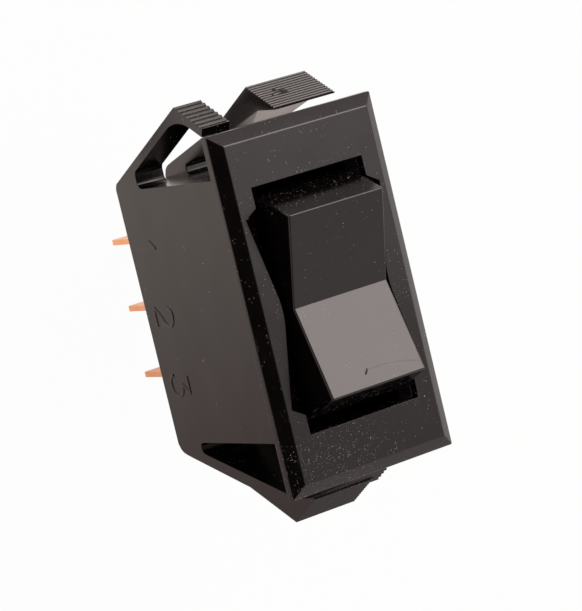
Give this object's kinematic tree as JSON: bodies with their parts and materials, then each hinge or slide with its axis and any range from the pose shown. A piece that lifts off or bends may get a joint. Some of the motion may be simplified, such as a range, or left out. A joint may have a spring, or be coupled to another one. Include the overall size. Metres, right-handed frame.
{
  "type": "rocker switch",
  "caption": "Black snap-in panel rocker switch with a V-shaped paddle, bevelled bezel, ridged snap arms and copper blade terminals.",
  "frame": {"origin": "centre of the bezel's back plane, where the panel's face lies", "axes": "+Z out of the panel through the rocker's face, +Y along the rocker's long way towards its top end, +X its width"},
  "size_m": [0.0272, 0.059, 0.0558],
  "materials": {
    "bezel_housing": "black nylon, half gloss",
    "rocker": "black nylon, gloss",
    "plunger": "natural acetal",
    "plunger_spring": "spring steel wire",
    "contact_lever": "copper alloy strip",
    "contacts": "silver alloy",
    "terminals": "bare copper alloy",
    "terminal_base": "black thermoset"
  },
  "bodies": {
    "housing": {"bezel_housing": "bezel_housing", "terminal_base": "terminal_base", "terminal_top": "terminals", "terminal_common": "terminals", "terminal_bottom": "terminals", "fixed_contact_top": "contacts", "fixed_contact_bottom": "contacts"},
    "rocker": {"rocker": "rocker", "plunger_spring": "plunger_spring"},
    "plunger": {"plunger": "plunger"},
    "lever": {"contact_lever": "contact_lever", "lever_contact_top": "contacts", "lever_contact_bottom": "contacts"}
  },
  "joints": [
    {"name": "rocker_pivot", "type": "hinge", "parent": "housing", "child": "rocker", "pos_m": [0, 0, -0.003], "axis": [1, 0, 0], "range_deg": [-12, 12]},
    {"name": "lever_pivot", "type": "hinge", "parent": "housing", "child": "lever", "pos_m": [0, 0, -0.0179], "axis": [1, 0, 0], "range_deg": [-5, 5]},
    {"name": "plunger_slide", "type": "slide", "parent": "rocker", "child": "plunger", "axis": [0, 0, 1], "range_m": [0, 0.0008], "stiffness_N_per_m": 800, "springref_m": -0.0015, "deforming": ["plunger_spring"]}
  ],
  "couplings": [
    {"joint": "lever_pivot", "follows": "rocker_pivot", "ratio": -0.4}
  ]
}
